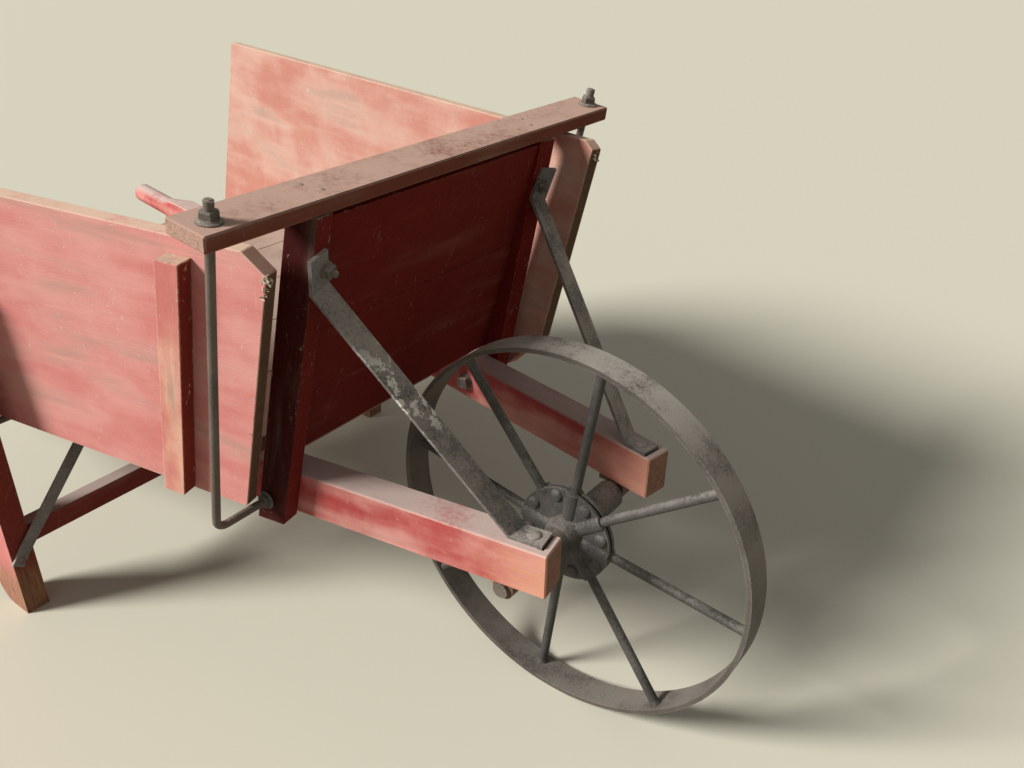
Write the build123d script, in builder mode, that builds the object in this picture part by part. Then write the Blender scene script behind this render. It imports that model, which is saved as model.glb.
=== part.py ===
"""Wooden garden wheelbarrow with one spoked iron wheel and loose side boards.

Millimetres. The origin is on the floor under the wheel axle, +X points forward,
away from the handles, +Y to the barrow's left, and +Z up.
"""
from math import cos, radians, sin, sqrt, tan
import os

from build123d import *

os.makedirs("parts", exist_ok=True)

# The barrow's sides, by the word used in names and the sign of their Y
SIDES = (("left", 1), ("right", -1))

# Wheel
wheel_dia = 457.2
rim_width = 36.0
rim_thick = 5.5
spoke_count = 8
spoke_dia = 11.0
spoke_phase = 37.0
spoke_stagger = 7.0
collar_dia = 17.0
collar_length = 7.0
collar_taper = 20.0
hub_dia = 117.0
hub_blank_dia = 121.0
hub_gap = 4.0
hub_plate = 3.6
hub_ridge_dia = 19.5
spoke_root_dia = 46.6
boss_root_dia = 50.0
boss_dia = 36.0
boss_taper = 16.0
boss_clearance = 5.0
spacer_dia = 25.0
rivet_head_dia = 15.0
rivet_head_height = 4.0
rivet_head_sides = 10
rivet_circle_dia = 98.0
axle_dia = 18.0
axle_clearance = 0.05
axle_proud = 5.0
bearing_flange_length = 42.0
bearing_flange_thick = 6.0
bearing_wall = 3.8
bearing_inset = 13.0
bearing_thick = 20.0
bearing_side_gap = 1.0

# Shafts, which run from the wheel back to the hand grips
shaft_height = 54.0
shaft_width = 36.5
shaft_half_gap = 133.0
shaft_splay = 10.0
shaft_rise = 0.77
shaft_under_z = 245.1
shaft_front_x = 55.5
shaft_length = 1376.0
shaft_edge = 1.5
grip_dia = 36.0
grip_length = 130.0
grip_taper = 70.0
grip_rounding = 8.0

# Posts, leaning forward with the dash boards between them
lean = 13.5
post_thick = 23.0
post_depth = 35.0
post_foot_x = -247.5
post_foot_z = 245.0

# Dash boards, lowest first, and the battens behind them
dash_lean = 17.7
dash_foot_x = -257.8
dash_foot_z = 316.0
dash_thick = 18.0
dash_gap = 0.6
DASH_WIDTHS = (78.3, 89.7, 136.0)
batten_width = 28.0
batten_thick = 20.0
batten_inset = 110.0
batten_drop = 28.0
batten_height = 300.0

# Beam across the top of the posts
beam_half_length = 300.5
beam_depth = 50.7
beam_thick = 16.0
beam_tilt = 7.85
beam_back_x = -211.2
beam_back_z = 616.9
beam_edge = 1.5

# Round iron rods that hold the front of the side boards
rod_dia = 9.0
rod_foot_x = -261.5
rod_foot_y = 270.5
rod_top_x = -178.5
ROD_TOP_Y = {"left": 286.0, "right": 279.5}
rod_above_beam = 15.0
rod_bend = 14.0
rod_end = 10.0

# Side boards, resting on the rods and the leg bolts
board_thick = 16.0
board_offset = 182.5
board_flare = 4.3
board_foot_z = 275.1
board_length = 857.0
board_seat = 0.3
board_travel = 75.0
# Front ends of the boards: foot's X, lean, room under the beam, and how far the upper and
# the lower corner are cut along the board's edge and along its end
BOARD_FRONTS = {
    "left": {"x": -194.0, "lean": 11.6, "room": 14.0, "upper": (14.0, 9.0), "lower": (45.0, 60.0)},
    "right": {"x": -263.0, "lean": 16.0, "room": 31.0, "upper": (30.0, 20.0), "lower": (2.0, 2.0)},
}
cleat_width = 29.0
cleat_thick = 18.0
cleat_lean = 13.5
cleat_from_front = 71.0
cleat_lift = 3.0
cleat_top_gap = 18.0
cleat_leg_gap = 16.0

# Bed
bed_front_x = -305.0
bed_thick = 16.0
bed_gap = 2.0
bed_seat = 0.05
bed_plank_count = 6
bed_plank_width = 113.0
bed_side_gap = 6.0
sill_height = 45.0
sill_width = 35.0
SILL_X = {"front": -345.0, "middle": -692.0, "rear": -950.0}

# Legs
leg_width = 30.0
leg_depth = 64.0
leg_front_x = -633.5
leg_inner_y = 309.5
leg_lean = 4.0
leg_flare = 1.4
leg_height = 500.0
leg_heel = 30.0
leg_top_rounding = 14.0
leg_bolt_back = 33.0
leg_bolt_proud = 12.0
stretcher_z = 105.0
stretcher_height = 29.0
stretcher_thick = 22.0
stretcher_inset = 2.0

# Flat iron braces from the posts to the shafts, with toes let into slots
strap_width = 25.0
strap_thick = 4.0
brace_bend_z = 537.0
brace_top_length = 40.0
brace_foot_y = 109.8
brace_foot_x = 10.5
brace_toe_length = 33.0
brace_toe_depth = 10.0
brace_tongue = 23.0
brace_tongue_back = 1.0
slot_clearance = 1.5
slot_front = 3.0

# Narrower braces from the legs to the shafts
leg_strap_width = 16.0
leg_brace_bend_z = 99.0
leg_brace_low_length = 18.0
leg_brace_seat = 0.3
leg_brace_back = 38.5
leg_brace_top_length = 26.0

splay_tan = tan(radians(shaft_splay))
rise_tan = tan(radians(shaft_rise))
along = 1 / cos(radians(shaft_splay))
wheel_radius = wheel_dia / 2
UP = Vector(0, 0, 1)


def save(name, solid):
    solid.label = name
    export_step(solid, f"parts/{name}.step")


def side_y(x, offset=0.0):
    """Distance from the centre plane to a shaft's outer face, plus an offset."""
    return shaft_half_gap + offset - splay_tan * x


def shaft_under(x):
    return shaft_under_z - rise_tan * x


def shaft_top(x):
    return shaft_under(x) + shaft_height / cos(radians(shaft_rise))


def board_under(x):
    return board_foot_z - rise_tan * x


def shaft_plane(sign):
    """Outer face of a shaft: x runs forward along it, y up across it."""
    forward = Vector(1, -sign * splay_tan, -rise_tan).normalized()
    return Plane(origin=(0, sign * shaft_half_gap, shaft_under_z),
                 x_dir=forward, z_dir=forward.cross(UP))


def upright_plane(sign, offset=0.0):
    """Vertical plane along a shaft's outer face: x runs forward, y is height."""
    forward = Vector(1, -sign * splay_tan, 0).normalized()
    return Plane(origin=(0, sign * (shaft_half_gap + offset), 0),
                 x_dir=forward, z_dir=forward.cross(UP))


def leg_plane(sign):
    """Inner face of a leg, with x forward and y up it."""
    up = Vector(0, sign * sin(radians(leg_flare)), cos(radians(leg_flare)))
    return Plane(origin=(0, sign * leg_inner_y, 0), x_dir=(1, 0, 0), z_dir=Vector(1, 0, 0).cross(up))


def cut_to_sides(offset=0.0):
    """Trim what is being built to the space between the shafts' faces."""
    for side, sign in SIDES:
        split(bisect_by=upright_plane(sign, offset), keep=Keep.TOP if sign > 0 else Keep.BOTTOM)


# Places that more than one piece depends on
rod_foot_z = board_under(rod_foot_x) - board_seat - rod_dia / 2
leg_bolt_x = leg_front_x - leg_bolt_back + board_under(leg_front_x) * tan(radians(leg_lean))
leg_bolt_z = board_under(leg_bolt_x) - board_seat - rod_dia / 2
beam_plane = Plane(origin=(beam_back_x, 0, beam_back_z),
                   x_dir=(cos(radians(beam_tilt)), 0, -sin(radians(beam_tilt))),
                   z_dir=(sin(radians(beam_tilt)), 0, cos(radians(beam_tilt))))


def rod_line(side, sign):
    """The straight run of a side rod, from its lower bend to its end over the beam."""
    foot = Vector(rod_foot_x, sign * rod_foot_y, rod_foot_z)
    top = Vector(rod_top_x, sign * ROD_TOP_Y[side], beam_back_z + beam_thick)
    return foot, top + (top - foot).normalized() * rod_above_beam


def brace_line(sign):
    """Both bends of a front brace in the middle of its thickness, and the post's front."""
    plane = upright_plane(sign)
    post_out = plane.x_dir * cos(radians(lean)) - UP * sin(radians(lean))
    u = post_foot_x * along + (brace_bend_z - post_foot_z) * tan(radians(lean))
    bend = plane.from_local_coords((u, brace_bend_z, -sign * post_thick / 2))
    foot_z = shaft_top(brace_foot_x) + strap_thick / 2 + bed_seat
    return bend + post_out * strap_thick / 2, Vector(brace_foot_x, sign * brace_foot_y, foot_z), post_out


def spoke_line(i):
    """Where a spoke leaves the hub's boss and where it meets the middle of the rim."""
    turn = radians(spoke_phase + 360 / spoke_count * i)
    out = Vector(cos(turn), 0, sin(turn))
    side = spoke_stagger if i % 2 else -spoke_stagger
    start = Vector(0, 0, wheel_radius) + out * spoke_root_dia / 2
    return start, Vector(0, side, wheel_radius) + out * (wheel_radius - rim_thick / 2)


# Wheel
with BuildPart() as rim:
    with BuildSketch(Plane.XZ):
        with Locations((0, wheel_radius)):
            Circle(wheel_radius)
            Circle(wheel_radius - rim_thick, mode=Mode.SUBTRACT)
    extrude(amount=rim_width / 2, both=True)
save("wheel_rim", rim.part)

with BuildPart() as spokes:
    for i in range(spoke_count):
        start, end = spoke_line(i)
        with BuildSketch(Plane(origin=start, z_dir=end - start)):
            Circle(spoke_dia / 2)
        extrude(amount=(end - start).length)
        with BuildSketch(Plane(origin=end, z_dir=start - end)):
            Circle(collar_dia / 2)
        extrude(amount=collar_length + rim_thick / 2, taper=collar_taper)
    with BuildSketch(Plane.XZ):
        with Locations((0, wheel_radius)):
            Circle(wheel_radius + rim_thick)
            Circle(wheel_radius - rim_thick, mode=Mode.SUBTRACT)
            Circle(spoke_root_dia / 2)
    extrude(amount=rim_width, both=True, mode=Mode.SUBTRACT)
save("wheel_spokes", spokes.part)

hub_face = hub_gap / 2 + hub_plate
boss_end = side_y(0, -shaft_width * along) - boss_clearance
spacer_end = shaft_half_gap - bearing_inset - bearing_thick - bearing_side_gap
rivet_turn = spoke_phase + 180 / spoke_count
for name, sign in (("hub_left", 1), ("hub_right", -1)):
    with BuildPart() as hub:
        with BuildSketch(Plane.XY.offset(wheel_radius)):
            with BuildLine():
                Polyline((axle_dia / 2, 0), (hub_blank_dia / 2, 0),
                         (hub_blank_dia / 2, sign * hub_face), (boss_root_dia / 2, sign * hub_face),
                         (boss_dia / 2, sign * (hub_face + boss_taper)),
                         (boss_dia / 2, sign * boss_end), (spacer_dia / 2, sign * boss_end),
                         (spacer_dia / 2, sign * spacer_end), (axle_dia / 2, sign * spacer_end),
                         close=True)
            make_face()
        revolve(axis=Axis((0, 0, wheel_radius), (0, 1, 0)))
        for i in range(spoke_count):
            start, end = spoke_line(i)
            with BuildSketch(Plane(origin=start, z_dir=start - Vector(0, 0, wheel_radius))):
                Circle(hub_ridge_dia / 2)
            extrude(amount=hub_dia / 2)
        with BuildSketch(Plane.XZ):
            with Locations((0, wheel_radius)):
                Circle(hub_dia)
                Circle(hub_dia / 2, mode=Mode.SUBTRACT)
        extrude(amount=hub_dia, both=True, mode=Mode.SUBTRACT)
        split(bisect_by=Plane.XZ.offset(-sign * hub_gap / 2),
              keep=Keep.BOTTOM if sign > 0 else Keep.TOP)
        for i in range(spoke_count):
            start, end = spoke_line(i)
            with BuildSketch(Plane(origin=start, z_dir=end - start)):
                Circle(spoke_dia / 2)
            extrude(amount=hub_dia, mode=Mode.SUBTRACT)
        with BuildSketch(Plane.XZ.offset(-sign * hub_face)):
            with Locations((0, wheel_radius)):
                with PolarLocations(rivet_circle_dia / 2, spoke_count, start_angle=rivet_turn):
                    RegularPolygon(rivet_head_dia / 2, rivet_head_sides)
        extrude(amount=-sign * rivet_head_height, taper=30)
    save(name, hub.part)

with BuildPart() as axle:
    with BuildSketch(Plane.XZ):
        with Locations((0, wheel_radius)):
            Circle(axle_dia / 2)
    extrude(amount=shaft_half_gap - bearing_inset + axle_proud, both=True)
save("wheel_axle", axle.part)

# Shafts, posts and axle bearings
grip_front = shaft_front_x * along - shaft_length + grip_length
square_length = shaft_front_x * along - grip_front - grip_taper
for side, sign in SIDES:
    plane = shaft_plane(sign)
    middle = plane.from_local_coords((shaft_front_x * along, shaft_height / 2,
                                      sign * shaft_width / 2))
    ends = Plane(origin=middle, x_dir=plane.y_dir, z_dir=-plane.x_dir)
    bend, foot, post_out = brace_line(sign)
    travel = upright_plane(sign).x_dir
    toe = foot + plane.x_dir * brace_toe_length
    with BuildPart() as shaft:
        with BuildSketch(ends):
            Rectangle(shaft_height, shaft_width)
            chamfer(vertices(), shaft_edge)
        extrude(amount=square_length)
        chamfer(faces().sort_by(Axis(middle, plane.x_dir))[-1].edges(), shaft_edge)
        with BuildSketch(ends.offset(square_length)):
            Rectangle(shaft_height, shaft_width)
            chamfer(vertices(), shaft_edge)
        with BuildSketch(ends.offset(square_length + grip_taper)):
            Circle(grip_dia / 2)
        loft()
        with BuildSketch(ends.offset(square_length + grip_taper)):
            Circle(grip_dia / 2)
        extrude(amount=grip_length)
        chamfer(faces().sort_by(Axis(middle, plane.x_dir))[0].edges(), grip_rounding)
        with BuildSketch(Plane.XZ):
            with Locations((rod_foot_x, rod_foot_z), (leg_bolt_x, leg_bolt_z)):
                Circle(rod_dia / 2)
        extrude(amount=shaft_length, both=True, mode=Mode.SUBTRACT)
        slot_top = Vector(toe.X, toe.Y, shaft_top(toe.X) + strap_thick)
        slot_length = strap_thick + slot_front
        with BuildSketch(Plane(origin=slot_top + travel * (slot_front - brace_tongue_back - slot_length / 2),
                               x_dir=travel, z_dir=UP)):
            Rectangle(slot_length, brace_tongue + 2 * slot_clearance)
        extrude(amount=-brace_toe_depth - 2 * strap_thick, mode=Mode.SUBTRACT)
    save(f"shaft_{side}", shaft.part)

    with BuildPart() as post:
        with BuildSketch(upright_plane(sign)):
            with BuildLine():
                foot_u = post_foot_x * along
                tall = beam_back_z + beam_thick - post_foot_z
                top_u = foot_u + tall * tan(radians(lean))
                deep = post_depth / cos(radians(lean))
                Polyline((foot_u, post_foot_z), (top_u, post_foot_z + tall),
                         (top_u - deep, post_foot_z + tall), (foot_u - deep, post_foot_z),
                         close=True)
            make_face()
        extrude(amount=-sign * post_thick)
        split(bisect_by=beam_plane, keep=Keep.BOTTOM)
        with BuildSketch(Plane.XZ):
            with Locations((rod_foot_x, rod_foot_z)):
                Circle(rod_dia / 2)
        extrude(amount=shaft_length, both=True, mode=Mode.SUBTRACT)
    save(f"post_{side}", post.part)

    with BuildPart() as bearing:
        with BuildSketch(Plane.XZ.offset(-sign * (shaft_half_gap - bearing_inset))):
            with Locations((0, wheel_radius)):
                Circle(axle_dia / 2 + bearing_wall)
            with Locations((0, wheel_radius + bearing_flange_length / 4)):
                Rectangle(axle_dia + 2 * bearing_wall, bearing_flange_length / 2)
            with Locations((0, shaft_under_z)):
                Rectangle(bearing_flange_length, 2 * bearing_flange_thick)
            with Locations((0, wheel_radius)):
                Circle(axle_dia / 2 + axle_clearance, mode=Mode.SUBTRACT)
        extrude(amount=sign * bearing_thick)
        split(bisect_by=Plane(origin=plane.origin, x_dir=plane.x_dir, z_dir=plane.y_dir),
              keep=Keep.BOTTOM)
    save(f"axle_bearing_{side}", bearing.part)

# Dash
dash_back = Vector(-cos(radians(dash_lean)), 0, sin(radians(dash_lean)))
dash_plane = Plane(origin=(dash_foot_x, 0, dash_foot_z), x_dir=(0, -1, 0), z_dir=dash_back)
rise = 0.0
for i, width in enumerate(DASH_WIDTHS):
    with BuildPart() as plank:
        with BuildSketch(dash_plane):
            with Locations((0, rise + width / 2)):
                Rectangle(4 * shaft_half_gap, width - dash_gap)
        extrude(amount=dash_thick)
        cut_to_sides()
    save(f"dash_plank_{i + 1}", plank.part)
    rise += width

for side, sign in SIDES:
    with BuildPart() as batten:
        with BuildSketch(dash_plane.offset(dash_thick)):
            with Locations((-sign * (batten_inset + batten_width / 2),
                            batten_height / 2 - batten_drop)):
                Rectangle(batten_width, batten_height)
        extrude(amount=batten_thick)
    save(f"dash_batten_{side}", batten.part)

with BuildPart() as beam:
    with BuildSketch(beam_plane):
        with Locations((beam_depth / 2, 0)):
            Rectangle(beam_depth, 2 * beam_half_length)
    extrude(amount=beam_thick)
    chamfer(edges(), beam_edge)
    for side, sign in SIDES:
        foot, top = rod_line(side, sign)
        with BuildSketch(Plane(origin=foot, z_dir=top - foot)):
            Circle(rod_dia / 2)
        extrude(amount=(top - foot).length, mode=Mode.SUBTRACT)
save("top_beam", beam.part)

# Bed, laid across the shafts and the sills
bed_plane = Plane(origin=(0, 0, shaft_top(0) + bed_seat),
                  x_dir=(cos(radians(shaft_rise)), 0, -sin(radians(shaft_rise))),
                  z_dir=(sin(radians(shaft_rise)), 0, cos(radians(shaft_rise))))
for i in range(bed_plank_count):
    with BuildPart() as plank:
        with BuildSketch(bed_plane):
            with Locations((bed_front_x - (i + 0.5) * (bed_plank_width + bed_gap), 0)):
                Rectangle(bed_plank_width, 8 * shaft_half_gap)
        extrude(amount=bed_thick)
        cut_to_sides(board_offset - shaft_half_gap - board_thick - bed_side_gap)
    save(f"bed_plank_{i + 1}", plank.part)

for place, x in SILL_X.items():
    with BuildPart() as sill:
        with BuildSketch(bed_plane):
            with Locations((x, 0)):
                Rectangle(sill_width, 8 * shaft_half_gap)
        extrude(amount=-sill_height)
        cut_to_sides(-shaft_width * along)
    save(f"cross_sill_{place}", sill.part)

# Legs, standing outside the side boards, which they also steady
leg_top_shift = leg_height * tan(radians(leg_lean))
for side, sign in SIDES:
    with BuildPart() as leg:
        with BuildSketch(leg_plane(sign)) as outline:
            with BuildLine():
                Polyline((leg_front_x, 0), (leg_front_x + leg_top_shift, leg_height),
                         (leg_front_x + leg_top_shift - leg_depth, leg_height),
                         (leg_front_x - leg_depth, 0), close=True)
            make_face()
            fillet(outline.vertices().sort_by(Axis.Y)[:2].sort_by(Axis.X)[0], leg_heel)
            fillet(outline.vertices().sort_by(Axis.Y)[-2:].sort_by(Axis.X)[1], leg_top_rounding)
        extrude(amount=-sign * leg_width)
        split(bisect_by=Plane.XY, keep=Keep.TOP)
        with BuildSketch(Plane.XZ):
            with Locations((leg_bolt_x, leg_bolt_z)):
                Circle(rod_dia / 2)
        extrude(amount=shaft_length, both=True, mode=Mode.SUBTRACT)
    save(f"leg_{side}", leg.part)

    outer = leg_inner_y + leg_width + leg_bolt_z * tan(radians(leg_flare)) + leg_bolt_proud
    inner = side_y(leg_bolt_x, -shaft_width * along) - leg_bolt_proud
    with BuildPart() as bolt:
        with BuildSketch(Plane.XZ.offset(-sign * outer)):
            with Locations((leg_bolt_x, leg_bolt_z)):
                Circle(rod_dia / 2)
        extrude(amount=sign * (outer - inner))
    save(f"leg_bolt_{side}", bolt.part)

front_of_leg = leg_front_x + stretcher_z * tan(radians(leg_lean))
with BuildPart() as stretcher:
    with BuildSketch(Plane.XY.offset(stretcher_z)):
        with Locations((front_of_leg - stretcher_inset - stretcher_thick / 2, 0)):
            Rectangle(stretcher_thick, 4 * leg_inner_y)
    extrude(amount=stretcher_height)
    for side, sign in SIDES:
        split(bisect_by=leg_plane(sign), keep=Keep.TOP if sign > 0 else Keep.BOTTOM)
save("leg_stretcher", stretcher.part)


def strap(width, first, last, across, lead, tail):
    """A flat strap with two folds and no twist.

    first and last are each a fold's centre and the normal of the face that the end lies
    on. across points along the folds, and lead and tail are the lengths of the two ends.
    """
    run = (last[0] - first[0]).normalized()
    slope = run.cross(across).normalized()
    plates = [(first[0], last[0], run, slope)]
    mitres = []
    for centre, normal in (first, last):
        facing = slope if normal.dot(slope) > 0 else -slope
        fold = normal.cross(facing).normalized()
        skew = run.dot(fold)
        straight = fold.cross(normal)
        if straight.dot(run) < 0:
            straight = -straight
        flat = fold * skew + straight * sqrt(1 - skew ** 2)
        across_fold = run + flat - fold * 2 * skew
        mitres.append(Plane(origin=centre, x_dir=fold, z_dir=across_fold.normalized()))
        if centre is first[0]:
            plates.append((centre - flat * lead, centre, flat, normal))
        else:
            plates.append((centre, centre + flat * tail, flat, normal))
    pieces = []
    for i, (start, end, forward, normal) in enumerate(plates):
        over_start = 0 if i == 1 else width
        over_end = 0 if i == 2 else width
        with BuildPart() as plate:
            with BuildSketch(Plane(origin=start - forward * over_start,
                                   x_dir=forward.cross(normal), z_dir=forward)):
                Rectangle(width, strap_thick)
            extrude(amount=(end - start).length + over_start + over_end)
            if i != 1:
                split(bisect_by=mitres[0 if i == 0 else 1], keep=Keep.TOP)
            if i != 2:
                split(bisect_by=mitres[1 if i == 0 else 0], keep=Keep.BOTTOM)
        pieces.append(plate.part)
    with BuildPart() as bar:
        for piece in pieces:
            add(piece)
    return bar.part


for side, sign in SIDES:
    bend, foot, post_out = brace_line(sign)
    plane = shaft_plane(sign)
    travel = upright_plane(sign).x_dir
    across = plane.y_dir.cross((foot - bend).normalized() - plane.x_dir)
    bar = strap(strap_width, (bend, post_out), (foot, plane.y_dir), across,
                brace_top_length, brace_toe_length)
    with BuildPart() as brace:
        add(bar)
        toe = foot + plane.x_dir * brace_toe_length
        tongue = (Vector(toe.X, toe.Y, shaft_top(toe.X) + strap_thick / 2)
                  - travel * (brace_tongue_back + strap_thick / 2))
        with BuildSketch(Plane(origin=tongue, x_dir=travel, z_dir=UP)):
            Rectangle(strap_thick, brace_tongue)
        extrude(amount=-strap_thick / 2 - brace_toe_depth)
    save(f"front_brace_{side}", brace.part)

    leg_up = Vector(tan(radians(leg_lean)), sign * tan(radians(leg_flare)), 1)
    leg_out = Vector(cos(radians(leg_lean)), 0, -sin(radians(leg_lean)))
    low = (Vector(leg_front_x, sign * (leg_inner_y + leg_width / 2), 0)
           + leg_up * leg_brace_bend_z + leg_out * (strap_thick / 2 + leg_brace_seat))
    high_x = leg_front_x + leg_brace_back
    high = Vector(high_x, sign * side_y(high_x, -shaft_width / 2 * along),
                  shaft_under(high_x) - strap_thick / 2 - bed_seat)
    save(f"leg_brace_{side}",
         strap(leg_strap_width, (low, leg_out), (high, -shaft_plane(sign).y_dir), Vector(0, 1, 0),
               leg_brace_low_length, leg_brace_top_length))

# Rods beside the posts
for side, sign in SIDES:
    foot, top = rod_line(side, sign)
    inner = Vector(rod_foot_x, sign * (side_y(rod_foot_x, -shaft_width * along) - rod_end),
                   rod_foot_z)
    with BuildPart() as rod:
        with BuildLine() as path:
            FilletPolyline(inner, foot, top, radius=rod_bend)
        with BuildSketch(Plane(origin=inner, z_dir=(0, sign, 0))):
            Circle(rod_dia / 2)
        sweep(path=path.wires()[0])
    save(f"side_rod_{side}", rod.part)

# Side boards, which lift out or slide between the rods and the legs
leg_back_x = leg_front_x - leg_depth + leg_top_shift
rear_cleat_x = (leg_back_x - board_travel - cleat_leg_gap
                - (leg_height - board_foot_z) * tan(radians(cleat_lean)))
rear_cleat_from_front = BOARD_FRONTS["right"]["x"] - rear_cleat_x
for side, sign in SIDES:
    shape = BOARD_FRONTS[side]
    board_height = beam_back_z - shape["room"] - board_foot_z
    slant = tan(radians(shape["lean"]))
    top_back, top_down = shape["upper"]
    low_back, low_up = shape["lower"]
    forward = Vector(1, -sign * splay_tan, -rise_tan).normalized()
    outward = Vector(splay_tan, sign, 0).normalized()
    flared = UP * cos(radians(board_flare)) + outward * sin(radians(board_flare))
    face = Plane(origin=(0, sign * board_offset, board_foot_z), x_dir=forward,
                 z_dir=forward.cross(flared))
    front = shape["x"] * along
    tip = front + board_height * slant
    with BuildPart() as board:
        with BuildSketch(face):
            with BuildLine():
                Polyline((front - low_back, 0), (front + low_up * slant, low_up),
                         (tip - top_down * slant, board_height - top_down),
                         (tip - top_back, board_height), (tip - board_length, board_height),
                         (front - board_length, 0), close=True)
            make_face()
        extrude(amount=sign * board_thick)
    save(f"side_board_{side}", board.part)

    for place, back in (("front", cleat_from_front), ("rear", rear_cleat_from_front)):
        with BuildPart() as cleat:
            with BuildSketch(face):
                with BuildLine():
                    high = board_height - cleat_top_gap
                    low_u = front - back * along + cleat_lift * tan(radians(cleat_lean))
                    high_u = front - back * along + high * tan(radians(cleat_lean))
                    Polyline((low_u, cleat_lift), (high_u, high), (high_u - cleat_width, high),
                             (low_u - cleat_width, cleat_lift), close=True)
                make_face()
            extrude(amount=-sign * cleat_thick)
        save(f"board_cleat_{place}_{side}", cleat.part)
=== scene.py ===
"""Looks for an old red-painted garden wheelbarrow: worn timber, dusty iron, bolts and nuts."""

from math import cos, pi, radians, sin, tan
from random import Random

import bmesh
import bpy
from mathutils import Matrix, Vector


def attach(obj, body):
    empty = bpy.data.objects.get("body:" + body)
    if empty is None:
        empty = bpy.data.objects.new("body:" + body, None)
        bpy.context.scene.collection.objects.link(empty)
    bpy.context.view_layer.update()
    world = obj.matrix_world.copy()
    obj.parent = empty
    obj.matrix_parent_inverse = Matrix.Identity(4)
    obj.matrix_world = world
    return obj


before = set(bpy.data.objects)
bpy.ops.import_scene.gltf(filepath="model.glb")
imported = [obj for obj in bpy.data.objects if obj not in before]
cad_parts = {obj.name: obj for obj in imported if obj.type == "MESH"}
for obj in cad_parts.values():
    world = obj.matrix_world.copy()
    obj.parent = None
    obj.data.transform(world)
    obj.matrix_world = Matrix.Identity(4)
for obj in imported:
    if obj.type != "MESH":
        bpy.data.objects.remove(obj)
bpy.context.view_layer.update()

# Camera, fitted to the photograph, in metres, degrees and millimetres
CAMERA_AT = (0.44753, -0.71138, 0.87720)
CAMERA_AZIMUTH = 36.535
CAMERA_ELEVATION = 28.749
CAMERA_ROLL = 0.621
LENS_MM = 32.62
SENSOR_MM = 36.0
FAR_CLIP = 300.0

# Light: the way to the lamp, its softness in degrees, its level, and the even surround
KEY_FROM = (-0.50, -0.68, 0.53)
KEY_SOFTNESS = 18.0
KEY_LEVEL = 1.38
FILL = (0.20, 0.20, 0.204)
FLOOR_REACH = 90.0

# The frame's own measures, in metres and degrees, as in the part's source
SHAFT_SPLAY = 10.0
SHAFT_RISE = 0.77
LEAN = 13.5
DASH_LEAN = 17.7
BEAM_TILT = 7.85
BEAM_BACK = (-0.2112, 0.6169)
BEAM_THICK = 0.016
POST_THICK = 0.023
SHAFT_WIDTH = 0.0365
SHAFT_HALF_GAP = 0.133
LEG_LEAN = 4.0
ROD_RADIUS = 0.0045
ROD_RUN = (0.083, 0.012, 0.366)
STRAP_THICK = 0.004
WHEEL_RADIUS = 0.2286
HUB_FACE = 0.0056
RIVET_CIRCLE = 0.049
RIVET_TURN = 59.5
RIVET_COUNT = 8
SIDES = (("left", 1), ("right", -1))

# Fasteners, in metres
ROD_STEM = ROD_RADIUS * 1.04
ROD_NUT = {"nut": 0.0130, "nut_high": 0.0080, "washer": 0.0118, "stem": ROD_STEM}
POST_NUT = {"nut": 0.0125, "nut_high": 0.0048, "washer": 0.0105, "stem": ROD_RADIUS}
SHAFT_NUT = {"nut": 0.0155, "nut_high": 0.0075, "washer": 0.0115, "stem": ROD_STEM}
BRACE_NUT = {"nut": 0.0118, "nut_high": 0.0060, "washer": 0.0088, "stem": 0.0036}
LEG_NUT = {"nut": 0.0165, "nut_high": 0.0075, "washer": 0.0125, "stem": ROD_STEM}
COVER = 0.0006
WASHER_HIGH = 0.0026
THREAD_PITCH = 0.0012
SEAT_GAP = 0.0009
POST_STEM_HIGH = 0.0070
BRACE_STEM_HIGH = 0.0135
LEG_STEM_HIGH = 0.0122
LEG_SEAT_DEEP = 0.0118

# Round heads: radius and height
BRACE_HEAD = (0.0078, 0.0028)
LEG_BRACE_HEAD = (0.0052, 0.0030)
RIVET_HEAD = (0.0079, 0.0047)
NAIL_HEAD = (0.0028, 0.0006)

# How far fasteners sit in from the ends of the braces
BRACE_NUT_IN = 0.021
BRACE_HEAD_IN = 0.0145
LEG_BRACE_HEAD_IN = 0.010

# Nails in the beam: forward of its back edge and across
NAILS = ((0.014, -0.168), (0.034, -0.160), (0.016, 0.166), (0.035, 0.158))

# Splinters on each board: seed, how many at the corner and how many lower down
SPLINTERS = {"left": (8, 12, 3), "right": (6, 42, 8)}

# How much CAD edges are rounded, in metres, and from what turn in degrees
ROUND_FROM = 35.0
ROUND_STRAP = 0.0005
ROUND_PLANK = 0.0008
ROUND_STICK = 0.0010
ROUND_BOARD = 0.0012

# Colours, as linear light
PAINT_RED = (0.66, 0.225, 0.195)
PAINT_FADED = (0.77, 0.35, 0.295)
# Dull paint for the far board: partly its own duller tone, partly painted shade for its side away
# from the lamp
PAINT_DULL_AND_SHADED = (0.53, 0.225, 0.165)
PAINT_DULL_AND_SHADED_FADED = (0.64, 0.39, 0.30)
# Deep paint: a darker red that the dash and posts have, deepened with painted shade for faces turned
# from the lamp
PAINT_DEEP_AND_SHADED = (0.15, 0.012, 0.008)
PAINT_DEEP_AND_SHADED_FADED = (0.21, 0.032, 0.022)
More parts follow.
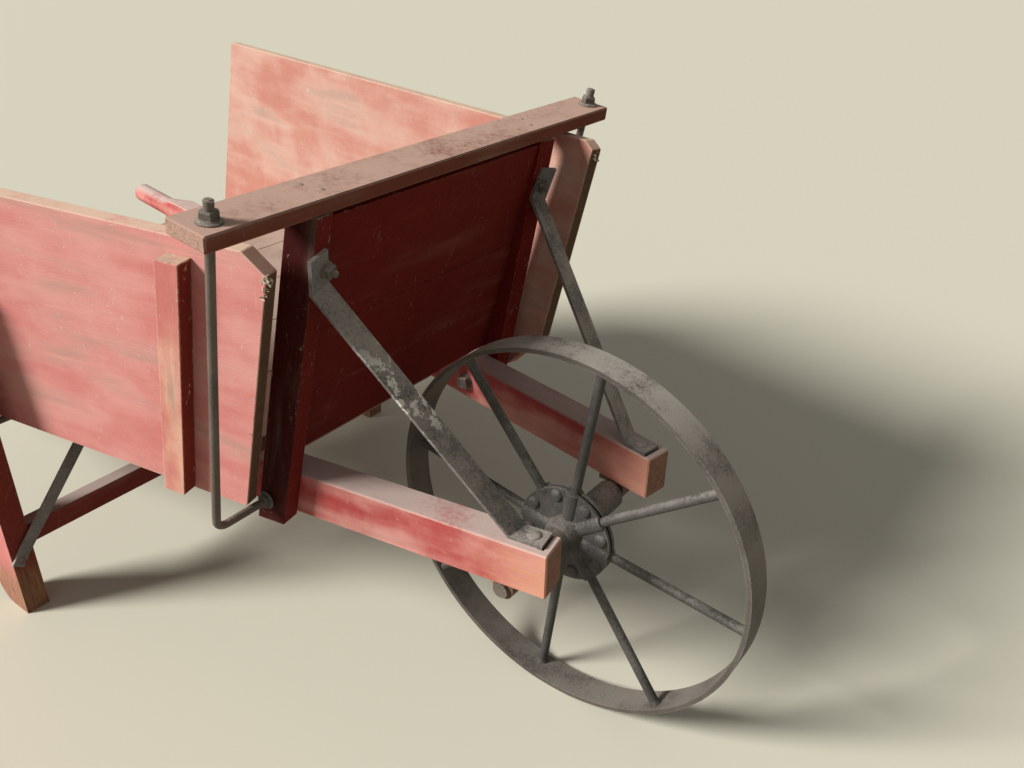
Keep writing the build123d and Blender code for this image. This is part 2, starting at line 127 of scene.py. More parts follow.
# Sheltered paint: less faded than the outer faces, and darkened with painted shade for faces turned
# from the lamp
PAINT_SHELTERED_AND_SHADED = (0.22, 0.040, 0.026)
WOOD_CREAM = (0.78, 0.62, 0.46)
WOOD_PALE = (0.70, 0.42, 0.26)
WOOD_GREY = (0.34, 0.25, 0.19)
WOOD_SHADE = (0.030, 0.018, 0.012)
FOOT_DARK = (0.22, 0.12, 0.065)
FOOT_LIGHT = (0.46, 0.25, 0.14)
BRACE_DARK = (0.098, 0.088, 0.083)
BRACE_LIGHT = (0.28, 0.255, 0.235)
BRACE_DUST = (0.45, 0.38, 0.31)
DUST = (0.48, 0.38, 0.31)
IRON_DARK = (0.070, 0.062, 0.054)
IRON_WORN = (0.42, 0.38, 0.33)
RUST = (0.150, 0.075, 0.042)
GRIT = (0.6, 0.55, 0.48)
FLAKE = (0.74, 0.70, 0.60)
FLOOR_SEEN = (0.72, 0.685, 0.54)
FLOOR_BOUNCE = (0.34, 0.32, 0.26)
SURROUND_SEEN = (0.66, 0.63, 0.50)


class Material:
    """A material's node tree, with short calls that add nodes and return their outputs."""

    def __init__(self, name):
        self.material = bpy.data.materials.new(name)
        self.material.use_nodes = True
        self.tree = self.material.node_tree
        self.shader = self.tree.nodes["Principled BSDF"]
        self.point = self.node("ShaderNodeTexCoord").outputs["Object"]
        self.normal = self.node("ShaderNodeNewGeometry").outputs["Normal"]

    def put(self, socket, value):
        """Sets a socket, or links it where the value is another socket."""
        if isinstance(value, bpy.types.NodeSocket):
            self.tree.links.new(value, socket)
        elif socket.type == "RGBA" and len(value) == 3:
            socket.default_value = (*value, 1)
        else:
            socket.default_value = value

    def node(self, kind, inputs=(), **settings):
        """Adds a node with its settings and its inputs by name or number."""
        new = self.tree.nodes.new(kind)
        for key, value in settings.items():
            setattr(new, key, value)
        for key, value in dict(inputs).items():
            self.put(new.inputs[key], value)
        return new

    def space(self, along, stretch):
        """Coordinates drawn out along a direction, for grain."""
        turn = Vector(along).to_track_quat("X", "Z").to_euler()
        inputs = {"Vector": self.point, "Rotation": turn, "Scale": (stretch, 1, 1)}
        return self.node("ShaderNodeMapping", inputs, vector_type="TEXTURE").outputs[0]

    def noise(self, vector, scale, detail=4, rough=0.6, warp=0.0):
        inputs = {"Vector": vector, "Scale": scale, "Detail": detail, "Roughness": rough,
                  "Distortion": warp}
        return self.node("ShaderNodeTexNoise", inputs).outputs[0]

    def step(self, value, low, high):
        """0 below low, 1 above high and smooth between; low may be above high."""
        ends = (1, 0) if low > high else (0, 1)
        inputs = {"Value": value, "From Min": min(low, high), "From Max": max(low, high),
                  "To Min": ends[0], "To Max": ends[1]}
        return self.node("ShaderNodeMapRange", inputs, interpolation_type="SMOOTHSTEP").outputs[0]

    def math(self, operation, a, b=0.0):
        return self.node("ShaderNodeMath", {0: a, 1: b}, operation=operation).outputs[0]

    def times(self, *values):
        product = values[0]
        for value in values[1:]:
            product = self.math("MULTIPLY", product, value)
        return product

    def blend(self, a, b, share):
        """A weighted mean of two values, with b's share given."""
        return self.math("ADD", self.times(a, 1 - share), self.times(b, share))

    def height_above_floor(self):
        return self.node("ShaderNodeSeparateXYZ", {0: self.point}).outputs[2]

    def facing(self, direction):
        inputs = {0: self.normal, 1: direction}
        return self.node("ShaderNodeVectorMath", inputs, operation="DOT_PRODUCT").outputs["Value"]

    def mix(self, factor, a, b):
        return self.node("ShaderNodeMix", {0: factor, 6: a, 7: b}, data_type="RGBA").outputs[2]

    def edges(self, radius):
        """1 on outside and inside edges, 0 on flat faces."""
        rounded = self.node("ShaderNodeBevel", {"Radius": radius}, samples=6).outputs[0]
        inputs = {0: rounded, 1: self.normal}
        turned = self.node("ShaderNodeVectorMath", inputs, operation="DOT_PRODUCT").outputs["Value"]
        return self.step(turned, 0.985, 0.80)

    def finish(self, color, roughness, height, depth):
        self.put(self.shader.inputs["Base Color"], color)
        self.put(self.shader.inputs["Roughness"], roughness)
        bump = self.node("ShaderNodeBump", {"Height": height, "Strength": 0.6, "Distance": depth})
        self.put(self.shader.inputs["Normal"], bump.outputs[0])
        return self.material


def timber(name, along, paint, faded, bare, fade=0.5, wear=0.5, dust=0.5, patches=0.0,
           main_paint_way=None, sheltered_and_shaded=PAINT_SHELTERED_AND_SHADED, dust_color=DUST, end_color=WOOD_GREY,
           greying=0.3, foot=0.0, bare_front=0.0):
    """Old painted timber, with its grain along a direction.

    fade, wear, dust, patches and greying are 0 to 1. The faces that look the given way
    keep the main paint, and the other faces take the sheltered colour, which is paint less
    faded and darkened with painted shade. Paint is gone below foot and, by bare_front, near
    the front end.
    """
    m = Material(name)
    grain = m.space(along, 14)
    fibre = m.noise(grain, 430, 5, 0.7, 0.2)
    band = m.noise(grain, 60, 4, 0.6, 0.5)
    wide = m.noise(m.space(along, 5), 26, 3, 0.5)
    blotch = m.noise(m.point, 12, 4, 0.6)
    fine = m.noise(m.point, 170, 4, 0.7)
    grit = m.noise(m.point, 900, 3, 0.6)
    fading = m.step(m.blend(blotch, wide, 0.6), 0.68 - 0.45 * fade, 0.94 - 0.45 * fade)
    color = m.mix(fading, paint, faded)
    # The wood's own grey shows through in soft bands along the grain
    grey = m.times(m.step(wide, 0.50, 0.70), m.step(band, 0.35, 0.65), greying)
    color = m.mix(grey, color, WOOD_GREY)
    pale = m.times(m.step(fibre, 0.58, 0.80), 0.35)
    color = m.mix(pale, color, m.mix(0.5, faded, bare))
    dark = m.times(m.step(fibre, 0.42, 0.24), 0.28)
    color = m.mix(dark, color, m.mix(0.4, paint, WOOD_SHADE))
    # Faces that don't look the given way take the sheltered colour in two random tones: paint less
    # faded, darkened with painted shade
    if main_paint_way is not None:
        out = m.step(m.facing(Vector(main_paint_way).normalized()), 0.25, 0.75)
        kept_paint_and_shade = m.mix(m.step(m.blend(fine, blotch, 0.5), 0.45, 0.65), sheltered_and_shaded,
                     tuple(c * 1.35 for c in sheltered_and_shaded))
        color = m.mix(out, kept_paint_and_shade, color)
    # Paint is gone along the edges, in scuffs and in a few scratches
    chipped = m.step(m.blend(fine, band, 0.3), 0.68 - 0.40 * wear, 0.80 - 0.3 * wear)
    edge = m.times(m.edges(0.004), chipped)
    scuff = m.step(m.blend(band, blotch, 0.5), 0.74 - 0.14 * patches, 0.82 - 0.14 * patches)
    scuff = m.times(scuff, m.step(fibre, 0.35, 0.55), 0.8)
    across = m.noise(m.space((0.3, 0.2, 1), 5), 28, 2, 0.5, 1.5)
    line = m.math("ABSOLUTE", m.math("SUBTRACT", across, 0.5))
    scratch = m.times(m.step(line, 0.006, 0.002), m.step(fine, 0.5, 0.6), 0.5)
    worn = m.math("MAXIMUM", m.math("MAXIMUM", edge, scuff), scratch)
    color = m.mix(worn, color, bare)
    if bare_front:
        x = m.node("ShaderNodeSeparateXYZ", {0: m.point}).outputs[0]
        near_end = m.step(m.math("ADD", x, m.times(m.blend(blotch, wide, 0.5), 0.20)), 0.045, 0.155)
        stripped = m.mix(m.step(fibre, 0.3, 0.7), faded, bare)
        color = m.mix(m.times(near_end, bare_front), color, stripped)
    if foot:
        low = m.step(m.math("ADD", m.height_above_floor(), m.times(blotch, foot * 0.7)),
                     foot * 1.35, foot * 0.7)
        brown = m.mix(m.step(fibre, 0.35, 0.65), FOOT_DARK, FOOT_LIGHT)
        color = m.mix(m.times(low, 0.8), color, brown)
    # End grain, with rings
    ends = m.step(m.math("ABSOLUTE", m.facing(Vector(along).normalized())), 0.80, 0.93)
    rings = m.noise(m.space((0, 1, 0.2), 3), 330, 4, 0.7, 1.0)
    cut = m.mix(m.step(rings, 0.3, 0.7), tuple(c * 0.6 for c in end_color), end_color)
    color = m.mix(m.math("SUBTRACT", ends, m.times(ends, edge)), color, cut)
    # Dust lies on what faces up
    top = m.step(m.facing((0, 0, 1)), 0.35, 0.92)
    powder = m.times(top, m.step(m.blend(fine, blotch, 0.6), 0.60 - 0.4 * dust, 0.78 - 0.25 * dust))
    color = m.mix(m.times(powder, 0.85), color, dust_color)
    specks = m.times(m.step(grit, 0.70, 0.76), 0.35)
    color = m.mix(specks, color, WOOD_CREAM)
    height = m.math("ADD", m.times(fibre, 0.7), m.times(worn, -0.6))
    height = m.math("ADD", height, m.times(fine, 0.25))
    height = m.math("ADD", height, m.times(ends, rings, 0.8))
    m.put(m.shader.inputs["Specular IOR Level"], 0.12)
    rough = m.math("ADD", 0.62, m.times(fine, 0.3))
    return m.finish(color, rough, height, 0.0009)


def iron(name, base, light, rust=0.3, dust=0.4, flakes=0.0, pits=0.4, dust_color=DUST,
         high_dust=0.0):
    """Old bare or blackened iron with dust and rust.

    high_dust is how much thinner the dust is near the floor.
    """
    m = Material(name)
    blotch = m.noise(m.point, 20, 5, 0.6)
    fine = m.noise(m.point, 330, 4, 0.6)
    grit = m.noise(m.point, 900, 3, 0.7)
    color = m.mix(m.blend(m.step(fine, 0.30, 0.75), m.step(blotch, 0.35, 0.65), 0.5), base, light)
    rusted = m.step(m.blend(blotch, fine, 0.25), 0.66 - 0.3 * rust, 0.84 - 0.2 * rust)
    color = m.mix(m.times(rusted, 0.7), color, RUST)
    edge = m.times(m.edges(0.0022), m.step(m.blend(fine, blotch, 0.5), 0.36, 0.60), 0.75)
    color = m.mix(edge, color, m.mix(0.5, light, IRON_WORN))
    top = m.step(m.facing((0, 0, 1)), -0.1, 0.9)
    settled = m.step(m.blend(fine, blotch, 0.65), 0.66 - 0.4 * dust, 0.86 - 0.3 * dust)
    powder = m.times(top, settled)
    thinned = m.blend(1, m.step(m.height_above_floor(), 0.06, 0.40), high_dust)
    color = m.mix(m.times(powder, thinned, 0.85), color, dust_color)
    speck = m.times(m.step(grit, 0.70, 0.76), 0.25 + 0.35 * dust)
    color = m.mix(speck, color, m.mix(0.5, dust_color, GRIT))
    if flakes:
        # Pale paint is flaking off the middle of the brace
        z = m.height_above_floor()
        where = m.times(m.step(z, 0.385, 0.42), m.step(z, 0.50, 0.46))
        flake = m.times(where, m.step(m.noise(m.point, 60, 5, 0.7), 0.53, 0.56), flakes)
        color = m.mix(flake, color, FLAKE)
    m.put(m.shader.inputs["Metallic"], 0.1)
    m.put(m.shader.inputs["Specular IOR Level"], 0.3)
    height = m.math("ADD", m.times(fine, pits), m.times(grit, 0.3))
    rough = m.math("ADD", 0.48, m.times(fine, 0.35))
    return m.finish(color, rough, height, 0.0005)


def shaft_way(sign):
    """Direction of a shaft, and of what lies along it."""
    return Vector((1, -sign * tan(radians(SHAFT_SPLAY)), -tan(radians(SHAFT_RISE)))).normalized()


def shaft_level(sign):
    """A shaft's direction, laid level."""
    return Vector((1, -sign * tan(radians(SHAFT_SPLAY)), 0)).normalized()


def shaft_out(sign):
    """Level direction out from a shaft's outer face."""
    return Vector((tan(radians(SHAFT_SPLAY)), sign, 0)).normalized()


def post_way(sign):
    """Direction up along a post."""
    return shaft_level(sign) * sin(radians(LEAN)) + Vector((0, 0, 1)) * cos(radians(LEAN))


def post_front(sign):
    """Direction out from a post's front face."""
    return shaft_level(sign) * cos(radians(LEAN)) - Vector((0, 0, 1)) * sin(radians(LEAN))


BEAM_UP = Vector((sin(radians(BEAM_TILT)), 0, cos(radians(BEAM_TILT))))
BEAM_FORWARD = Vector((cos(radians(BEAM_TILT)), 0, -sin(radians(BEAM_TILT))))
BEAM_TOP = Vector((BEAM_BACK[0], 0, BEAM_BACK[1])) + BEAM_UP * BEAM_THICK


def give(object_, material):
    object_.data.materials.clear()
    object_.data.materials.append(material)


def dress(names, material, round_edges=0.0):
    """Puts a material on CAD nodes and rounds their edges, with flat faces left flat."""
    for name in names:
        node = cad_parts[name]
        for slot in node.material_slots:
            slot.material = material
        if round_edges:
            weld = node.modifiers.new("weld", "WELD")
            weld.merge_threshold = 0.00002
            bevel = node.modifiers.new("edges", "BEVEL")
            bevel.width = round_edges
            bevel.segments = 2
            bevel.limit_method = "ANGLE"
            bevel.angle_limit = radians(ROUND_FROM)
            bevel.use_clamp_overlap = True
            flat = node.modifiers.new("flat_faces", "WEIGHTED_NORMAL")
            flat.weight = 100
            flat.keep_sharp = True


def add_piece(name, bm, body, material):
    """Makes an object of a bmesh and hangs it on a body of the frame."""
    bmesh.ops.recalc_face_normals(bm, faces=bm.faces)
    mesh = bpy.data.meshes.new(name)
    bm.to_mesh(mesh)
    bm.free()
    piece = bpy.data.objects.new(name, mesh)
    bpy.context.scene.collection.objects.link(piece)
    give(piece, material)
    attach(piece, body)
    return piece


def upright(at, axis, spin=0.0):
    """Placement that takes +Z to axis, turned about it by spin degrees."""
    turn = Vector(axis).normalized().to_track_quat("Z", "Y").to_matrix().to_4x4()
    return Matrix.Translation(at) @ turn @ Matrix.Rotation(radians(spin), 4, "Z")


def revolved(bm, profile, place, steps=28, smooth=False):
    """Adds the surface swept by (radius, height) points turned about the placement's Z."""
    rings = []
    for radius, height in profile:
        if radius < 1e-7:
            rings.append([bm.verts.new(place @ Vector((0, 0, height)))])
            continue
        turns = [2 * pi * i / steps for i in range(steps)]
        rings.append([bm.verts.new(place @ Vector((radius * cos(t), radius * sin(t), height)))
                      for t in turns])
    for low, high in zip(rings, rings[1:]):
        for i in range(steps):
            j = (i + 1) % steps
            around = [low[i % len(low)], low[j % len(low)], high[j % len(high)], high[i % len(high)]]
            unique = list(dict.fromkeys(around))
            if len(unique) > 2:
                face = bm.faces.new(unique)
                face.smooth = smooth


def squared(bm, across, height, place, corner):
    """Adds a square nut with its upper corners worn off."""
    half = across / 2
    shape = []
    for i in range(4):
        for d in (-corner, corner):
            turn = pi / 2 * i + pi / 4 + d
            reach = half / max(abs(cos(turn)), abs(sin(turn)))
            shape.append((reach * cos(turn), reach * sin(turn)))
    levels = ((0.97, 0.0), (1.0, height * 0.12), (1.0, height * 0.75), (0.9, height))
    rings = [[bm.verts.new(place @ Vector((x * k, y * k, h))) for x, y in shape] for k, h in levels]
    for low, high in zip(rings, rings[1:]):
        for i in range(8):
            j = (i + 1) % 8
            bm.faces.new([low[i], low[j], high[j], high[i]])
    bm.faces.new(list(reversed(rings[0])))
    bm.faces.new(rings[-1])


def nut_and_bolt(name, at, axis, stem_high, spin, nut, nut_high, washer, stem):
    """A dished washer, a square nut and the threaded end of a bolt, standing along axis."""
    bm = bmesh.new()
    place = upright(at, axis, spin)
    rim = [(0, 0.0), (washer, 0.0), (washer, 0.0012), (washer * 0.8, 0.0024)]
    revolved(bm, rim + [(nut * 0.70, 0.0030), (0, 0.0030)], place, smooth=False)
    squared(bm, nut, nut_high, place @ Matrix.Translation((0, 0, WASHER_HIGH)), 0.09)
    base = WASHER_HIGH + nut_high
    thread = [(stem, base - 0.002)]
    turns = max(2, int((stem_high - base) / THREAD_PITCH))
    for i in range(turns):
        level = base + (stem_high - base - 0.001) * i / turns
        thread += [(stem * 0.9, level), (stem, level + 0.0005)]
    thread += [(stem * 0.9, stem_high - 0.0008), (stem * 0.7, stem_high), (0, stem_high)]
    revolved(bm, thread, place, 20)
    return add_piece(name, bm, "frame", iron_nut)


def dome(bm, place, radius, height):
    """Adds a round head, domed, with its edge let slightly into what it sits on."""
    arc = [(radius * cos(a), height * sin(a)) for a in (radians(q) for q in range(0, 91, 15))]
    revolved(bm, [(radius * 0.97, -0.0008)] + arc[:-1] + [(0, height)], place, 24, smooth=True)


def points_of(node):
    """The corners of a CAD node's mesh, in the frame."""
    return [v.co.copy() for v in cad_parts[node].data.vertices]


def end_middle(node, axis, slack=0.0004):
    """Middle of a CAD node's end that faces along axis."""
    points = points_of(node)
    far = max(p.dot(axis) for p in points)
    ring = [p for p in points if far - p.dot(axis) < slack]
    low = Vector([min(p[i] for p in ring) for i in range(3)])
    high = Vector([max(p[i] for p in ring) for i in range(3)])
    return (low + high) / 2


# Iron
iron_rod = iron("iron_rod", (0.11, 0.088, 0.068), (0.21, 0.17, 0.135), rust=0.35, dust=0.4)
iron_nut = iron("iron_nut", IRON_DARK, (0.17, 0.14, 0.115), rust=0.4, dust=0.8,
                dust_color=(0.40, 0.33, 0.27))
iron_brace = iron("iron_brace", BRACE_DARK, BRACE_LIGHT, rust=0.1, dust=0.75, dust_color=BRACE_DUST)
iron_brace_flaked = iron("iron_brace_flaked", BRACE_DARK, BRACE_LIGHT, rust=0.1, dust=0.75,
                         flakes=1.0, dust_color=BRACE_DUST)
iron_rim = iron("iron_rim", (0.072, 0.060, 0.049), (0.145, 0.125, 0.103), rust=0.3, dust=0.95,
                pits=0.4, dust_color=(0.50, 0.45, 0.385), high_dust=0.75)
iron_hub = iron("iron_hub", (0.048, 0.046, 0.044), (0.125, 0.118, 0.108), rust=0.2, dust=0.65,
                pits=0.5, dust_color=(0.31, 0.265, 0.22))
iron_spoke = iron("iron_spoke", (0.050, 0.046, 0.041), (0.12, 0.11, 0.096), rust=0.15, dust=0.6,
                  dust_color=(0.30, 0.27, 0.235))
iron_axle = iron("iron_axle", (0.10, 0.075, 0.058), (0.21, 0.165, 0.13), rust=0.4, dust=0.6,
                 dust_color=(0.30, 0.25, 0.21))
iron_bearing = iron("iron_bearing", (0.13, 0.075, 0.045), (0.24, 0.14, 0.08), rust=0.7, dust=0.3)

dress(["front_brace_left", "leg_brace_left", "leg_brace_right"], iron_brace, ROUND_STRAP)
dress(["front_brace_right"], iron_brace_flaked, ROUND_STRAP)
dress(["side_rod_left", "side_rod_right", "leg_bolt_left", "leg_bolt_right"], iron_rod)
dress(["wheel_rim"], iron_rim)
dress(["wheel_spokes"], iron_spoke)
dress(["hub_left", "hub_right"], iron_hub)
dress(["wheel_axle"], iron_axle)
dress(["axle_bearing_left", "axle_bearing_right"], iron_bearing)

# Timber at each side
for side, sign in SIDES:
    way = shaft_way(sign)
    out = shaft_out(sign)
    # The far board gets the dull paint, which carries painted shade
    paint, faded = (PAINT_RED, PAINT_FADED) if sign < 0 else (PAINT_DULL_AND_SHADED, PAINT_DULL_AND_SHADED_FADED)
    board = timber(f"board_{side}", way, paint, faded, WOOD_CREAM, fade=0.7, wear=0.95,
                   dust=0.9, patches=0.15, dust_color=(0.76, 0.56, 0.40),
                   end_color=(0.17, 0.095, 0.055), greying=0.45)
    dress([f"side_board_{side}"], board, ROUND_BOARD)
    # The cleat's faces that don't look outward take a dark sheltered colour: painted shade
    cleat = timber(f"cleat_{side}", post_way(sign), (0.62, 0.20, 0.165), (0.82, 0.47, 0.32),
                   WOOD_CREAM, fade=0.68, wear=0.7, dust=0.6, main_paint_way=out, patches=0.3,
                   sheltered_and_shaded=(0.20, 0.032, 0.02), dust_color=WOOD_PALE,
                   end_color=(0.66, 0.50, 0.38), greying=0.75)
    dress([f"board_cleat_front_{side}", f"board_cleat_rear_{side}"], cleat, ROUND_STICK)
    shaft = timber(f"shaft_{side}", way, (0.47, 0.075, 0.068), (0.76, 0.35, 0.29),
                   (0.82, 0.42, 0.23), fade=0.58, wear=0.6, dust=1.0, patches=0.5,
                   dust_color=(0.62, 0.51, 0.44), end_color=(0.40, 0.21, 0.14), greying=0.3,
                   bare_front=0.85)
    dress([f"shaft_{side}"], shaft)
    # The post's near-black paint on its outer face is a painted shadow of the side board; its other
    # faces take deep paint with painted shade
    post = timber(f"post_{side}", post_way(sign), (0.045, 0.005, 0.004), (0.075, 0.010, 0.008),
                  WOOD_GREY, fade=0.35, wear=0.45, dust=0.3, main_paint_way=out, sheltered_and_shaded=PAINT_DEEP_AND_SHADED)
    dress([f"post_{side}"], post, ROUND_STICK)
    # The leg's faces that don't look outward take the sheltered colour, with painted shade
    leg = timber(f"leg_{side}", (tan(radians(LEG_LEAN)), 0, 1), PAINT_RED, PAINT_FADED, WOOD_GREY,
                 fade=0.5, wear=0.6, dust=0.4, patches=0.3, main_paint_way=out, foot=0.10)
    dress([f"leg_{side}"], leg, ROUND_BOARD)

splinter_wood = timber("splinter_wood", (1, 0, 0), (0.84, 0.72, 0.56), WOOD_CREAM, WOOD_CREAM,
                       fade=0.5, wear=0.2, dust=0.3, end_color=WOOD_CREAM, greying=0.2)

# Timber across the barrow. The bed planks aren't rounded, because a bevel folds their faces
# The dash's deep paint is partly its own dark red and partly painted shade
dash = timber("dash", (0, 1, 0), PAINT_DEEP_AND_SHADED, PAINT_DEEP_AND_SHADED_FADED, (0.33, 0.13, 0.10), fade=0.4,
              wear=0.5, dust=0.2, patches=0.15, greying=0.1)
dress(["dash_plank_1", "dash_plank_2", "dash_plank_3"], dash, ROUND_PLANK)
batten = timber("batten", (sin(radians(DASH_LEAN)), 0, cos(radians(DASH_LEAN))), PAINT_RED,
                PAINT_FADED, WOOD_PALE, fade=0.6, wear=0.5, dust=0.4)
dress(["dash_batten_left", "dash_batten_right"], batten, ROUND_STICK)
beam = timber("beam", (0, 1, 0), (0.20, 0.055, 0.032), (0.27, 0.095, 0.062), WOOD_GREY, fade=0.5,
              wear=0.7, dust=0.95, patches=0.3, dust_color=(0.66, 0.44, 0.34),
              end_color=(0.56, 0.34, 0.25))
dress(["top_beam"], beam)
bed = timber("bed", (0, 1, 0), WOOD_GREY, (0.42, 0.31, 0.23), WOOD_PALE, fade=0.5, wear=0.5,
             dust=0.8, patches=0.6)
dress([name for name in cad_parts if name.startswith("bed_plank")], bed)
dress(["cross_sill_front", "cross_sill_middle", "cross_sill_rear"], bed, ROUND_BOARD)
stretcher = timber("stretcher", (0, 1, 0), (0.25, 0.045, 0.034), (0.34, 0.085, 0.07), WOOD_GREY,
                   fade=0.45, wear=0.5, dust=0.95, dust_color=(0.50, 0.41, 0.35))
dress(["leg_stretcher"], stretcher, ROUND_BOARD)


def rod_fasteners(side, sign):
    """The nuts of a side rod: over the beam, outside the post and inside the shaft."""
    rod = f"side_rod_{side}"
    slope = Vector((ROD_RUN[0], sign * ROD_RUN[1], ROD_RUN[2])).normalized()
    end = end_middle(rod, slope)
    seat = end - slope * ((end - BEAM_TOP).dot(BEAM_UP) / slope.dot(BEAM_UP))
    proud = (end - seat).length
    spin = 20 if sign < 0 else 50
    nut_and_bolt(f"rod_nut_{side}", seat, BEAM_UP, proud + COVER, spin, **ROD_NUT)
    across = Vector((0, sign, 0))
    inner = end_middle(rod, -across)
    face = SHAFT_HALF_GAP - tan(radians(SHAFT_SPLAY)) * inner.x
    post_face = face + POST_THICK / cos(radians(SHAFT_SPLAY))
    seat = Vector((inner.x, sign * (post_face + SEAT_GAP), inner.z))
    nut_and_bolt(f"post_nut_{side}", seat, across, POST_STEM_HIGH, 0, **POST_NUT)
    face -= SHAFT_WIDTH / cos(radians(SHAFT_SPLAY))
    seat = Vector((inner.x, sign * (face - SEAT_GAP), inner.z))
    nut_and_bolt(f"shaft_nut_{side}", seat, -across, abs(seat.y - inner.y) + COVER, 10, **SHAFT_NUT)


def brace_fasteners(side, sign):
    """A nut and bolt on a front brace's upper plate and a round head on its foot plate."""
    brace = f"front_brace_{side}"
    top = end_middle(brace, post_way(sign), 0.0003)
    seat = top - post_way(sign) * BRACE_NUT_IN + post_front(sign) * STRAP_THICK / 2
    nut_and_bolt(f"brace_nut_{side}", seat, post_front(sign), BRACE_STEM_HIGH, 20, **BRACE_NUT)
    way = shaft_way(sign)
    up = Vector((tan(radians(SHAFT_RISE)), 0, 1)).normalized()
    toe = [p for p in points_of(brace) if p.z < 0.32]
    level = max(p.dot(up) for p in toe if p.x > 0.02)
    front = max(p.dot(way) for p in toe)
    flat = [p for p in toe if front - p.dot(way) < 0.0003 and level - p.dot(up) < 0.0003]
    middle = sum(flat, Vector()) / len(flat)
    bm = bmesh.new()
    dome(bm, upright(middle - way * BRACE_HEAD_IN, up), *BRACE_HEAD)
    add_piece(f"brace_bolt_{side}", bm, "frame", iron_brace)


def leg_fasteners(side, sign):
    """Nuts on both ends of a leg bolt and a round head on the leg brace."""
    across = Vector((0, sign, 0))
    bolt = f"leg_bolt_{side}"
    for word, turn in (("outer", 1), ("inner", -1)):
        end = end_middle(bolt, across * turn)
        seat = end - across * turn * LEG_SEAT_DEEP
        spin = 30 * turn
        nut_and_bolt(f"leg_nut_{word}_{side}", seat, across * turn, LEG_STEM_HIGH, spin, **LEG_NUT)
    brace = f"leg_brace_{side}"
    out = Vector((cos(radians(LEG_LEAN)), 0, -sin(radians(LEG_LEAN))))
    down = Vector((-sin(radians(LEG_LEAN)), 0, -cos(radians(LEG_LEAN))))
    seat = end_middle(brace, down, 0.0006) - down * LEG_BRACE_HEAD_IN + out * STRAP_THICK / 2
    bm = bmesh.new()
    dome(bm, upright(seat, out), *LEG_BRACE_HEAD)
    add_piece(f"leg_brace_bolt_{side}", bm, "frame", iron_nut)


def rivet_heads():
    """Domed rivet heads on both faces of the hub."""
    bm = bmesh.new()
    for sign in (1, -1):
        for i in range(RIVET_COUNT):
            turn = radians(RIVET_TURN + 360 / RIVET_COUNT * i)
            x = RIVET_CIRCLE * cos(turn)
            z = WHEEL_RADIUS + RIVET_CIRCLE * sin(turn)
            at = Vector((x, sign * HUB_FACE, z))
            dome(bm, upright(at, (0, sign, 0)), *RIVET_HEAD)
    add_piece("rivet_heads", bm, "wheel", iron_hub)


def nail_heads():
    """Small nail heads where the beam is nailed to the posts."""
    bm = bmesh.new()
    for deep, across in NAILS:
        at = BEAM_TOP + BEAM_FORWARD * deep + Vector((0, across, 0))
        dome(bm, upright(at, BEAM_UP), *NAIL_HEAD)
    add_piece("beam_nails", bm, "frame", iron_nut)


def board_splinters(side, sign, seed, tuft, strays):
    """Torn fibres at the upper front corner of a side board, and a few lower down its end."""
    chance = Random(seed)
    points = points_of(f"side_board_{side}")
    way = shaft_way(sign)
    across = shaft_out(sign)
    tip = max(points, key=lambda p: p.dot(way) + 0.001 * p.dot(across))
    foot = min((p for p in points if p.x > tip.x - 0.12), key=lambda p: p.z)
    bm = bmesh.new()
    for i in range(tuft + strays):
        drop = abs(chance.gauss(0, 0.03)) if i < tuft else chance.uniform(0.1, 0.9)
        size = chance.uniform(0.0025, 0.0070) if i < tuft else chance.uniform(0.002, 0.005)
        at = tip.lerp(foot, min(drop, 0.95))
        at = at - across * chance.uniform(-0.002, 0.010) - way * 0.0015
        lean = Vector([chance.uniform(-0.9, 0.9) for _ in range(3)])
        point = at + (way * 0.5 + across * 0.6 + lean).normalized() * size
        flat = Vector([chance.uniform(-1, 1) for _ in range(3)]).cross(way).normalized()
        width = size * chance.uniform(0.2, 0.5)
        shard = (at - flat * width, at + flat * width, point + flat * width * 0.6, point)
        bm.faces.new([bm.verts.new(corner) for corner in shard])
    piece = add_piece(f"board_splinters_{side}", bm, f"side_{side}", splinter_wood)
    thick = piece.modifiers.new("thickness", "SOLIDIFY")
    thick.thickness = 0.0005


for side, sign in SIDES:
    board_splinters(side, sign, *SPLINTERS[side])
    rod_fasteners(side, sign)
    brace_fasteners(side, sign)
    leg_fasteners(side, sign)
rivet_heads()
nail_heads()


def seen_directly(tree):
    """1 where a camera, glossy or transmitted ray looks, and 0 for light that bounces."""
    path = tree.nodes.new("ShaderNodeLightPath")
    total = path.outputs["Is Camera Ray"]
    for ray in ("Is Glossy Ray", "Is Transmission Ray"):
        either = tree.nodes.new("ShaderNodeMath")
        either.operation = "MAXIMUM"
        tree.links.new(total, either.inputs[0])
        tree.links.new(path.outputs[ray], either.inputs[1])
        total = either.outputs[0]
    return total


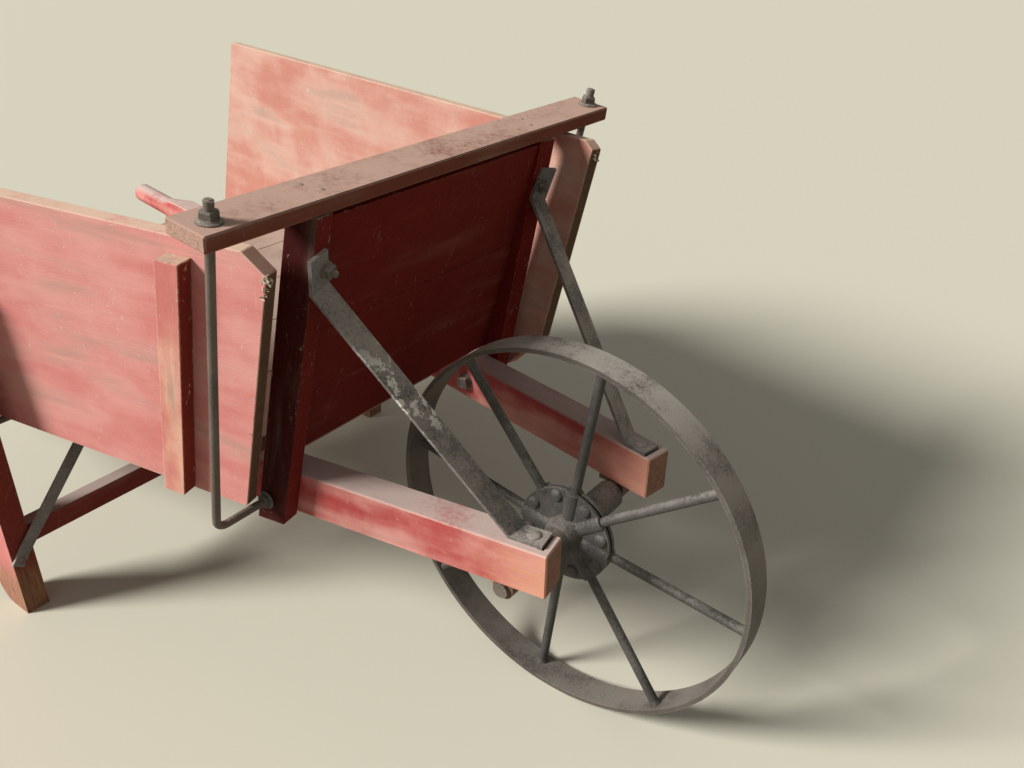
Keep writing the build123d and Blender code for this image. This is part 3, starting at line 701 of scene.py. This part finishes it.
def floor_material():
    """Pale to the eye, and darker for the light that it throws back."""
    m = Material("floor")
    fine = m.noise(m.point, 30, 5, 0.6)
    color = m.mix(seen_directly(m.tree), FLOOR_BOUNCE, FLOOR_SEEN)
    m.put(m.shader.inputs["Specular IOR Level"], 0.1)
    return m.finish(color, 0.9, fine, 0.0002)


def studio():
    """A plain pale floor, one soft lamp far off and an even surround."""
    mesh = bpy.data.meshes.new("floor")
    reach = FLOOR_REACH
    ends = [(-reach, -reach, 0), (reach, -reach, 0), (reach, reach, 0), (-reach, reach, 0)]
    mesh.from_pydata(ends, [], [(0, 1, 2, 3)])
    floor = bpy.data.objects.new("floor", mesh)
    bpy.context.scene.collection.objects.link(floor)
    give(floor, floor_material())

    lamp = bpy.data.lights.new("key", "SUN")
    lamp.angle = radians(KEY_SOFTNESS)
    lamp.energy = pi * KEY_LEVEL
    key = bpy.data.objects.new("key", lamp)
    key.rotation_euler = Vector(KEY_FROM).to_track_quat("Z", "Y").to_euler()
    bpy.context.scene.collection.objects.link(key)

    world = bpy.data.worlds.new("surround")
    bpy.context.scene.world = world
    world.use_nodes = True
    tree = world.node_tree
    shown = tree.nodes.new("ShaderNodeMix")
    shown.data_type = "RGBA"
    shown.inputs[6].default_value = (*FILL, 1)
    shown.inputs[7].default_value = (*SURROUND_SEEN, 1)
    tree.links.new(seen_directly(tree), shown.inputs[0])
    tree.links.new(shown.outputs[2], tree.nodes["Background"].inputs["Color"])


def camera():
    """The camera at the photograph's place, with its slight roll."""
    turn, lift, roll = radians(CAMERA_AZIMUTH), radians(CAMERA_ELEVATION), radians(CAMERA_ROLL)
    ahead = Vector((-sin(turn) * cos(lift), cos(turn) * cos(lift), -sin(lift)))
    across = Vector((cos(turn), sin(turn), 0))
    up = across.cross(ahead)
    right = across * cos(roll) + up * sin(roll)
    top = up * cos(roll) - across * sin(roll)
    data = bpy.data.cameras.new("camera")
    data.lens = LENS_MM
    data.sensor_width = SENSOR_MM
    data.clip_end = FAR_CLIP
    made = bpy.data.objects.new("camera", data)
    axes = Matrix((right, top, -ahead)).transposed().to_4x4()
    made.matrix_world = Matrix.Translation(CAMERA_AT) @ axes
    bpy.context.scene.collection.objects.link(made)
    bpy.context.scene.camera = made


studio()
camera()
bpy.context.scene.view_settings.view_transform = "Standard"
